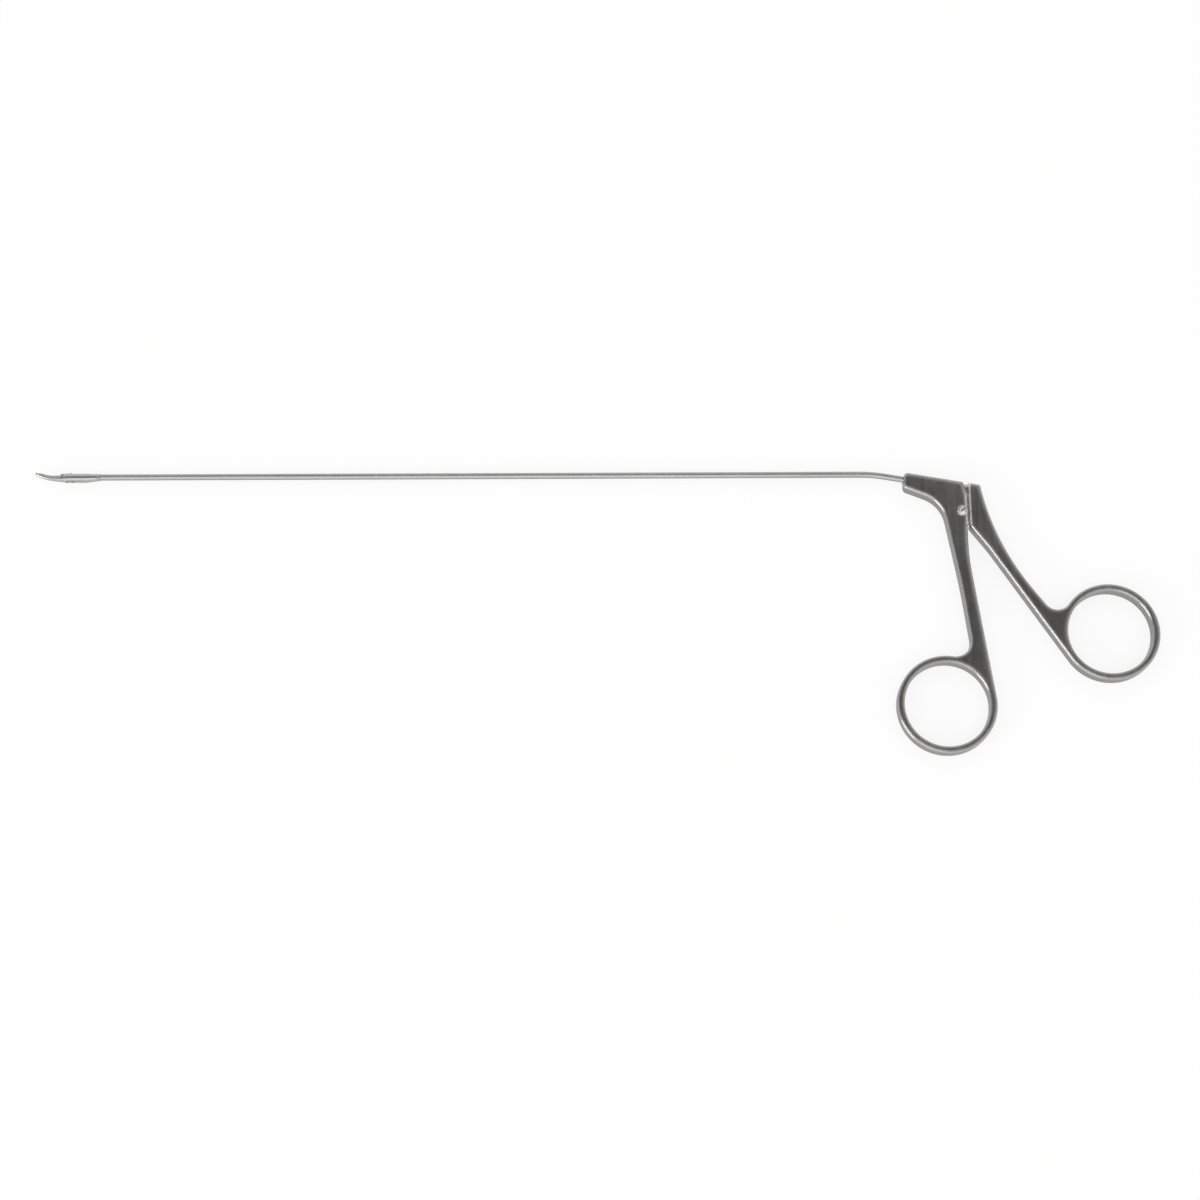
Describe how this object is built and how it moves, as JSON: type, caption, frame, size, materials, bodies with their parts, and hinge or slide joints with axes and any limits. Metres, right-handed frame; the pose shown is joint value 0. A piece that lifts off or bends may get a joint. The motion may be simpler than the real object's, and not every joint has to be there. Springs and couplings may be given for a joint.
{
  "type": "micro laryngeal alligator forceps",
  "caption": "Ring-handled micro forceps with a long thin angled-in shaft and small toothed alligator jaws that open upward.",
  "frame": {"origin": "centre of the bounding box's bottom: the middle of the outline seen from above, on the surface that the instrument lies on", "axes": "+X along the straight shaft from the jaws to the handles, +Y from the finger rings towards the shaft, +Z through the handles' thickness, towards the screw's head"},
  "size_m": [0.2892, 0.0754, 0.0049],
  "materials": {
    "handle_steel": "satin, fine blasted",
    "shaft_steel": "satin drawn tube",
    "jaw_steel": "satin",
    "screw_steel": "polished",
    "rod_steel": "bright drawn wire"
  },
  "bodies": {
    "fixed_frame": {"front_handle": "handle_steel", "shaft_tube": "shaft_steel", "fixed_jaw": "jaw_steel", "jaw_pivot_pin": "screw_steel", "pivot_screw": "screw_steel"},
    "moving_handle": {"rear_handle": "handle_steel", "rod_cross_pin": "rod_steel"},
    "rod": {"pull_rod": "rod_steel", "rod_eye": "rod_steel", "rod_tongue": "rod_steel"},
    "moving_jaw": {"upper_jaw": "jaw_steel", "tail_pin": "rod_steel"}
  },
  "joints": [
    {"name": "handle_pivot", "type": "hinge", "parent": "fixed_frame", "child": "moving_handle", "pos_m": [0.09577, 0.02593, 0.002], "axis": [0, 0, 1], "range_deg": [0, 8.5]},
    {"name": "rod_slide", "type": "slide", "parent": "fixed_frame", "child": "rod", "axis": [-1, 0, 0], "range_m": [0, 0.000959]},
    {"name": "jaw_pivot", "type": "hinge", "parent": "fixed_frame", "child": "moving_jaw", "pos_m": [-0.13529, 0.03691, 0.002], "axis": [0, 0, -1], "range_deg": [0, 40]}
  ],
  "couplings": [
    {"joint": "rod_slide", "follows": "handle_pivot", "m_per_rad": 0.0064555},
    {"joint": "jaw_pivot", "follows": "handle_pivot", "ratio": 4.7059}
  ]
}
